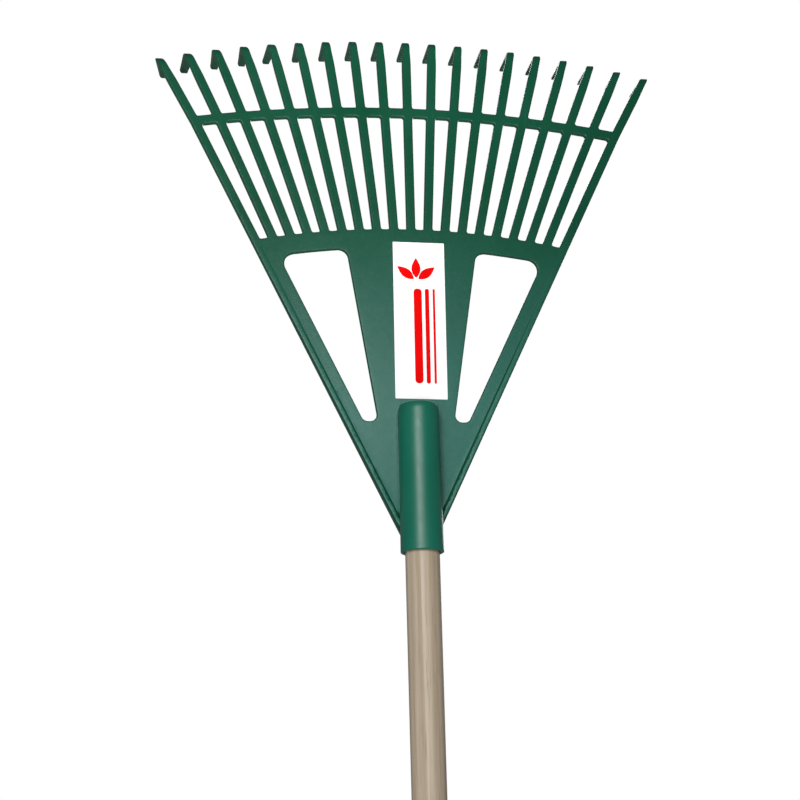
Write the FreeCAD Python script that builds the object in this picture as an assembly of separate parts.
import FreeCAD, Part
import math
import os

# Long-handled lawn rake: a fan head moulded in one piece, a wooden handle, a label and a screw.
# Millimetres. +Z runs along the handle towards the tines, +X is right, and -Y is the front, the
# side with the label, so the tines hook back towards +Y. The origin is on the handle's axis, at
# the mouth of the socket. The moulding is divided where one feature meets the next, face to face.

V = FreeCAD.Vector

# Handle: a round wooden pole whose tapered end is driven into the socket.
HANDLE_R = 14.3
HANDLE_LENGTH = 1200.0
PLUG_LENGTH = 112.0
PLUG_END_R = 12.9
BUTT_ROUND = 9.0

# Socket: a tapered tube, closed at its top end.
SOCKET_LENGTH = 126.0
SOCKET_MOUTH_R = 17.9
SOCKET_TOP_R = 16.9
SOCKET_SHOULDER = 4.5
LIP_ROUND = 1.0
BORE_DEPTH = 114.0

# Fixing screw, through the back of the socket into the handle.
SCREW_Z = 28.0
SCREW_HEAD_R = 4.2
SCREW_HEAD_HEIGHT = 2.6
SCREW_R = 2.1
SCREW_LENGTH = 20.0
SCREW_POINT = 5.0
SCREW_SLOT_WIDTH = 1.1
SCREW_SLOT_DEPTH = 1.4

# Fan: the tines radiate from a point on the handle's axis, in a plane behind that axis.
TINES_EACH_SIDE = 9
TINE_STEP = 2.932
TINE_CROWDING = 0.000285
FAN_APEX_Z = -6.4
FAN_Y = 12.8
TINE_WIDTH = 7.7
TINE_THICKNESS = 6.0
WEB_THICKNESS = 4.0

# Each cross line of the fan is an arc centred on the axis: (centre's z, radius).
ROOT_ARC = (-397.1, 681.5)
BAR_ARC = (-777.8, 1170.3)
TIP_ARC = (-522.4, 983.7)
BAR_WIDTH = 8.2
BAR_THICKNESS = 6.0

# Past the tie bar the tines splay a little: degrees per tine, and per tine cubed.
SPLAY = (-0.25, 0.006)

# Each tine narrows towards its tip, and ends in a hook.
TIP_WIDTH = 6.5
TIP_TAPER = 25.0
HOOK_END_Y = 48.0
HOOK_BASE_WIDTH = 6.2
HOOK_END_WIDTH = 5.8
HOOK_THICKNESS = 6.0
HOOK_END_THICKNESS = 3.4
HOOK_DROP = 0.8
BEND_R = 5.0

# Raised rib down each edge of the web: it stands further out towards the socket. Its block is
# made too long by a share and then trimmed where the tine starts.
RIB_WIDTH = 5.4
RIB_LOW_FRONT_Y = 6.6
RIB_LOW_Z = 8.0
RIB_ROUND = 2.0
RIB_OVERLENGTH = 1.1

# Windows in the web, one each side of the middle.
WINDOW_TOP_MARGIN = 17.0
WINDOW_EDGE_INSET = 12.0
WINDOW_INNER_X = 52.2
WINDOW_INNER_Z = 239.0
WINDOW_INNER_SLOPE = 8.95
WINDOW_BOTTOM_Z = 113.6
WINDOW_INNER_TOP_ROUND = 8.5
WINDOW_OUTER_TOP_ROUND = 9.5
WINDOW_BOTTOM_ROUND = 5.8

# Label on the web's front face.
LABEL_WIDTH = 44.4
LABEL_HEIGHT = 139.0
LABEL_THICKNESS = 0.25
LABEL_X = 5.2
LABEL_Z = 202.6
LABEL_TILT = 0.4

# Derived places
TINE_FRONT = FAN_Y - TINE_THICKNESS / 2
TINE_BACK = FAN_Y + TINE_THICKNESS / 2
WEB_FRONT = TINE_FRONT
WEB_BACK = WEB_FRONT + WEB_THICKNESS
OUTER = TINES_EACH_SIDE
REACH = 260.0


def tine_angle(k):
    """Angle of tine k from the handle's axis, in radians; k runs from -OUTER to OUTER."""
    return math.radians(TINE_STEP * k * (1 - TINE_CROWDING * k * k))


def splay_angle(k):
    """Angle of the same tine past the tie bar."""
    return tine_angle(k) + math.radians(SPLAY[0] * k + SPLAY[1] * k ** 3)


def along(point, angle, distance, sideways=0.0):
    """Point (x, z) moved along a tine's direction, and to its right."""
    x = point[0] + distance * math.sin(angle) + sideways * math.cos(angle)
    z = point[1] + distance * math.cos(angle) - sideways * math.sin(angle)
    return x, z


def reach_to(arc, angle):
    """Distance from the fan's apex to an arc, along a tine's direction."""
    centre_z, radius = arc
    gap = FAN_APEX_Z - centre_z
    shadow = gap * math.cos(angle)
    return -shadow + math.sqrt(shadow ** 2 - gap ** 2 + radius ** 2)


def plan_prism(points, y_low, y_high):
    """Prism of an outline of (x, z) points, between two depths."""
    corners = [V(x, y_low, z) for x, z in points]
    face = Part.Face(Part.makePolygon(corners + corners[:1]))
    return face.extrude(V(0, y_high - y_low, 0))


def side_prism(edges):
    """Prism across the whole fan of a closed side view, given as edges at x = -REACH."""
    face = Part.Face(Part.Wire(Part.__sortEdges__(edges)))
    return face.extrude(V(2 * REACH, 0, 0))


def disc(arc, grow=0.0):
    """Thick disc that fills the inside of an arc, over the fan's whole depth."""
    centre_z, radius = arc
    return Part.makeCylinder(radius + grow, 2 * HOOK_END_Y, V(0, -HOOK_END_Y / 2, centre_z), V(0, 1, 0))


def edges_near(shape, test):
    """Edges of a shape whose middle passes a test on (x, y, z)."""
    found = []
    for edge in shape.Edges:
        middle = edge.valueAt((edge.FirstParameter + edge.LastParameter) / 2)
        if test(middle.x, middle.y, middle.z):
            found.append(edge)
    return found


def socket_body():
    """Outer shape of the socket, without its bore."""
    body = Part.makeCone(SOCKET_MOUTH_R, SOCKET_TOP_R, SOCKET_LENGTH)
    body = body.makeFillet(SOCKET_SHOULDER, edges_near(body, lambda x, y, z: z > SOCKET_LENGTH - 0.1))
    mouth = [e for e in edges_near(body, lambda x, y, z: abs(z) < 0.1) if e.isClosed()]
    return body.makeFillet(LIP_ROUND, mouth)


def plug(length):
    """Tapered end of the handle, or the bore that it fills."""
    end_r = HANDLE_R + (PLUG_END_R - HANDLE_R) * length / PLUG_LENGTH
    return Part.makeCone(HANDLE_R, end_r, length)


def fixing_screw():
    """Pan-head wood screw, pointing to the front."""
    seat_y = SOCKET_MOUTH_R + (SOCKET_TOP_R - SOCKET_MOUTH_R) * SCREW_Z / SOCKET_LENGTH
    back = V(0, -1, 0)
    top_y = seat_y + SCREW_HEAD_HEIGHT
    head = Part.makeCylinder(SCREW_HEAD_R, SCREW_HEAD_HEIGHT, V(0, top_y, SCREW_Z), back)
    crown = edges_near(head, lambda x, y, z: y > top_y - 0.1)
    head = head.makeFillet(SCREW_HEAD_HEIGHT * 0.7, crown)
    shank = Part.makeCylinder(SCREW_R, SCREW_LENGTH, V(0, seat_y, SCREW_Z), back)
    point = Part.makeCone(SCREW_R, 0.3, SCREW_POINT, V(0, seat_y - SCREW_LENGTH, SCREW_Z), back)
    screw = head.fuse([shank, point]).removeSplitter()
    half = SCREW_HEAD_R * 0.55
    slot_y = top_y - SCREW_SLOT_DEPTH
    for width, height in ((2 * half, SCREW_SLOT_WIDTH), (SCREW_SLOT_WIDTH, 2 * half)):
        corner = V(-width / 2, slot_y, SCREW_Z - height / 2)
        screw = screw.cut(Part.makeBox(width, SCREW_SLOT_DEPTH + 1, height, corner))
    return screw


def handle(screw):
    """Wooden pole with a rounded butt and a tapered end."""
    exposed = HANDLE_LENGTH - PLUG_LENGTH
    pole = Part.makeCylinder(HANDLE_R, exposed, V(0, 0, -exposed))
    pole = pole.makeFillet(BUTT_ROUND, edges_near(pole, lambda x, y, z: z < 0.1 - exposed))
    return pole.fuse(plug(PLUG_LENGTH)).removeSplitter().cut(screw)


def tine_outline(k):
    """Plan outline of a tine, from below its root to past its tip, with its tip's height."""
    apex = (0.0, FAN_APEX_Z)
    low_angle = tine_angle(k)
    high_angle = splay_angle(k)
    low = reach_to(ROOT_ARC, low_angle) - 12.0
    bend = reach_to(BAR_ARC, low_angle)
    tip = reach_to(TIP_ARC, low_angle) - bend
    knee = along(apex, low_angle, bend)
    half, tip_half = TINE_WIDTH / 2, TIP_WIDTH / 2
    edges = []
    for side in (-1, 1):
        edges.append([along(apex, low_angle, low, side * half),
                      along(knee, (low_angle + high_angle) / 2, 0, side * half),
                      along(knee, high_angle, tip - TIP_TAPER, side * half),
                      along(knee, high_angle, tip - HOOK_THICKNESS, side * tip_half),
                      along(knee, high_angle, tip + 8.0, side * tip_half)])
    return edges[0] + edges[1][::-1], along(knee, high_angle, tip)


def tine_side(tip_z):
    """Side view of a tine: a straight shaft, a rounded bend and a hook that thins to its end."""
    x = -REACH
    low = V(x, TINE_FRONT, 200)
    bend_low = V(x, TINE_FRONT, tip_z - BEND_R)
    slant = BEND_R * (1 - math.sqrt(0.5))
    bend_mid = V(x, TINE_FRONT + slant, tip_z - slant)
    bend_high = V(x, TINE_FRONT + BEND_R, tip_z)
    end_top = V(x, HOOK_END_Y, tip_z - HOOK_DROP)
    end_low = V(x, HOOK_END_Y, tip_z - HOOK_DROP - HOOK_END_THICKNESS)
    inside = V(x, TINE_BACK, tip_z - HOOK_THICKNESS)
    low_back = V(x, TINE_BACK, 200)
    edges = [Part.makeLine(low, bend_low), Part.Arc(bend_low, bend_mid, bend_high).toShape()]
    corners = [bend_high, end_top, end_low, inside, low_back, low]
    edges += [Part.makeLine(a, b) for a, b in zip(corners, corners[1:])]
    return side_prism(edges)


def hook_band(k, tip):
    """Block that narrows the hook from inside the shaft towards its end."""
    angle = splay_angle(k)
    wires = []
    for y, width in ((FAN_Y, HOOK_BASE_WIDTH), (HOOK_END_Y + 1, HOOK_END_WIDTH)):
        outline = [along(tip, angle, run, side) for run, side in
                   ((-20, -width / 2), (20, -width / 2), (20, width / 2), (-20, width / 2))]
        corners = [V(x, y, z) for x, z in outline]
        wires.append(Part.makePolygon(corners + corners[:1]))
    return Part.makeLoft(wires, True, True)


def tine(k):
    """One tine, standing on the root arc."""
    outline, tip = tine_outline(k)
    side = tine_side(tip[1])
    shaft = side.common(plan_prism(outline, 0, TINE_BACK)).cut(disc(ROOT_ARC))
    hook = side.common(hook_band(k, tip))
    return shaft.fuse(hook).removeSplitter()


def edge_rib(k, socket):
    """Rib down the web's edge, in line with an outermost tine."""
    apex = (0.0, FAN_APEX_Z)
    angle = tine_angle(k)
    top = reach_to(ROOT_ARC, angle) + 12.0
    outer = math.copysign(TINE_WIDTH / 2, k)
    inner = outer - math.copysign(RIB_WIDTH, k)
    outline = [along(apex, angle, run, side) for run, side in
               ((0, inner), (top, inner), (top, outer), (0, outer))]
    root_z = along(apex, angle, reach_to(ROOT_ARC, angle))[1]
    high_z = RIB_LOW_Z + RIB_OVERLENGTH * (root_z - RIB_LOW_Z)
    high_front_y = RIB_LOW_FRONT_Y + RIB_OVERLENGTH * (TINE_FRONT - RIB_LOW_FRONT_Y)
    corners = [V(-REACH, RIB_LOW_FRONT_Y, RIB_LOW_Z), V(-REACH, high_front_y, high_z),
               V(-REACH, TINE_BACK, high_z), V(-REACH, TINE_BACK, RIB_LOW_Z)]
    side = side_prism([Part.makeLine(a, b) for a, b in zip(corners, corners[1:] + corners[:1])])
    rib = side.common(plan_prism(outline, 0, TINE_BACK))
    rounded = edges_near(rib, lambda x, y, z: y < TINE_FRONT and RIB_LOW_Z + 50 < z < root_z - 50)
    rib = rib.makeFillet(RIB_ROUND, rounded)
    return rib.common(disc(ROOT_ARC)).cut(socket)


def window(side):
    """Cutter for one window; side is -1 for left and 1 for right."""
    angle = tine_angle(OUTER)
    slope = math.radians(WINDOW_INNER_SLOPE)
    apex = (0.0, FAN_APEX_Z)

    edge = along(apex, angle, 0, -WINDOW_EDGE_INSET)

    def inner(z):
        return WINDOW_INNER_X + (z - WINDOW_INNER_Z) * math.tan(slope), z

    def outer(z):
        return edge[0] + (z - edge[1]) * math.tan(angle), z

    high = ROOT_ARC[0] + ROOT_ARC[1]
    outline = [inner(WINDOW_BOTTOM_Z), inner(high), outer(high), outer(WINDOW_BOTTOM_Z)]
    block = plan_prism([(side * x, z) for x, z in outline], 0, HOOK_END_Y)
    block = block.common(disc(ROOT_ARC, -WINDOW_TOP_MARGIN))
    split_x = (inner(high)[0] + outer(high)[0]) / 2
    split_z = (WINDOW_BOTTOM_Z + high) / 2

    def corners(above, outside):
        return lambda x, y, z: (abs(y - HOOK_END_Y / 2) < 0.1 and (z > split_z) == above
                                and outside in (None, abs(x) > split_x))

    block = block.makeFillet(WINDOW_BOTTOM_ROUND, edges_near(block, corners(False, None)))
    block = block.makeFillet(WINDOW_INNER_TOP_ROUND, edges_near(block, corners(True, False)))
    return block.makeFillet(WINDOW_OUTER_TOP_ROUND, edges_near(block, corners(True, True)))


def fan_web(ribs, socket):
    """Thin plate between the ribs, with its two windows."""
    apex = (0.0, FAN_APEX_Z)
    angle = tine_angle(OUTER)
    edge = TINE_WIDTH / 2 - RIB_WIDTH
    low = along(apex, angle, 30.0, edge)
    high = along(apex, angle, 400.0, edge)
    outline = [(-low[0], low[1]), low, high, (-high[0], high[1])]
    plate = plan_prism(outline, WEB_FRONT, WEB_BACK).common(disc(ROOT_ARC))
    return plate.cut([window(-1), window(1), socket] + ribs)


def tie_bar(tines):
    """Cross bar, as the separate pieces that fill the spaces between the tines."""
    apex = (0.0, FAN_APEX_Z)
    left = along(apex, tine_angle(-OUTER), 2 * REACH)
    right = along(apex, tine_angle(OUTER), 2 * REACH)
    front = FAN_Y - BAR_THICKNESS / 2
    wedge = plan_prism([apex, left, right], front, front + BAR_THICKNESS)
    band = wedge.common(disc(BAR_ARC, BAR_WIDTH / 2)).cut(disc(BAR_ARC, -BAR_WIDTH / 2))
    return Part.makeCompound(band.cut(tines).Solids)


def label():
    """Flat rectangular label on the front of the web."""
    low = V(-LABEL_WIDTH / 2, WEB_FRONT - LABEL_THICKNESS, -LABEL_HEIGHT / 2)
    sheet = Part.makeBox(LABEL_WIDTH, LABEL_THICKNESS, LABEL_HEIGHT, low)
    sheet.rotate(V(0, 0, 0), V(0, 1, 0), LABEL_TILT)
    sheet.translate(V(LABEL_X, 0, LABEL_Z))
    return sheet


def write(name, shape):
    """Check a sub-part and write it as a STEP file."""
    solids = len(shape.Solids)
    print("%-16s solids %2d  valid %s  volume %.0f" % (name, solids, shape.isValid(), shape.Volume))
    shape.exportStep("parts/%s.step" % name)


def main():
    os.makedirs("parts", exist_ok=True)
    body = socket_body()
    screw = fixing_screw()
    ribs = [edge_rib(-OUTER, body), edge_rib(OUTER, body)]
    tines = [tine(k) for k in range(-OUTER, OUTER + 1)]

    write("handle", handle(screw))
    write("handle_socket", body.cut([plug(BORE_DEPTH), screw]))
    write("socket_screw", screw)
    write("fan_web", fan_web(ribs, body))
    write("left_edge_rib", ribs[0])
    write("right_edge_rib", ribs[1])
    write("tie_bar", tie_bar(tines))
    write("label", label())
    for number, shape in enumerate(tines, 1):
        write("tine_%02d" % number, shape)


main()
